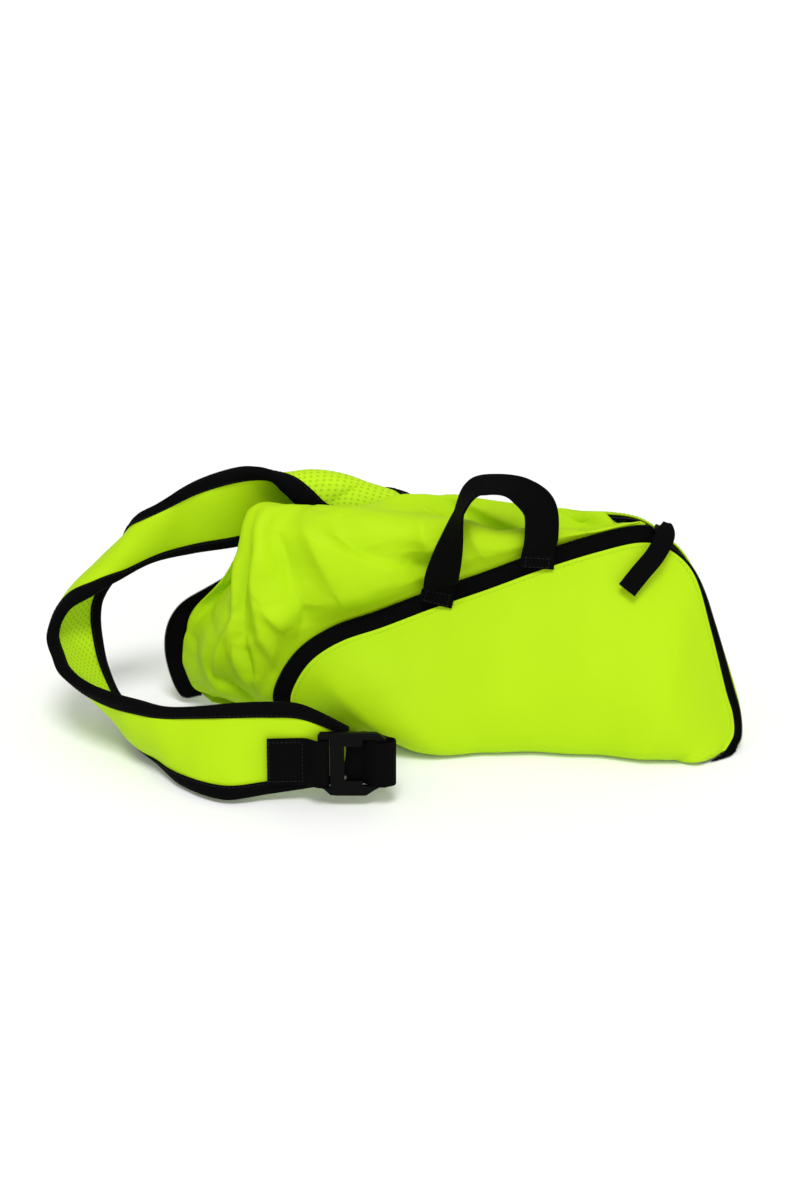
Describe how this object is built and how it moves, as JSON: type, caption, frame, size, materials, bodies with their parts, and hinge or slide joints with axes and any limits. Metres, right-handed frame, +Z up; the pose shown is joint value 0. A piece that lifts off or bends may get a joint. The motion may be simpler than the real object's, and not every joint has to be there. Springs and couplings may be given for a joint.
{
  "type": "packable backpack",
  "caption": "Neon packable backpack half stuffed into its own zip pouch, with a carry handle and one padded shoulder strap with its ladder lock lying out beside it.",
  "frame": {"origin": "middle of the footprint on the floor that the pouch lies on", "axes": "+X along the pouch from the strap's fold to the zip slider's end, +Y from the front panel towards the back, +Z up"},
  "size_m": [0.437, 0.1826, 0.1699],
  "materials": {
    "nylon": "satin",
    "mesh_cloth": "matt",
    "black_webbing": "matt",
    "black_plastic": "satin"
  },
  "bodies": {
    "root": {"pouch_front_panel": "nylon", "pouch_back_panel": "nylon", "bag_body": "nylon", "strap_face": "nylon", "strap_mesh_lining": "mesh_cloth", "zip_tape_front": "black_webbing", "zip_tape_back": "black_webbing", "strap_binding_lower": "black_webbing", "strap_binding_upper": "black_webbing", "carry_handle": "black_webbing", "zip_pull_ribbon": "black_webbing", "strap_anchor_webbing": "black_webbing", "adjuster_webbing": "black_webbing", "zip_slider": "black_plastic", "ladder_lock_buckle": "black_plastic"}
  },
  "joints": []
}
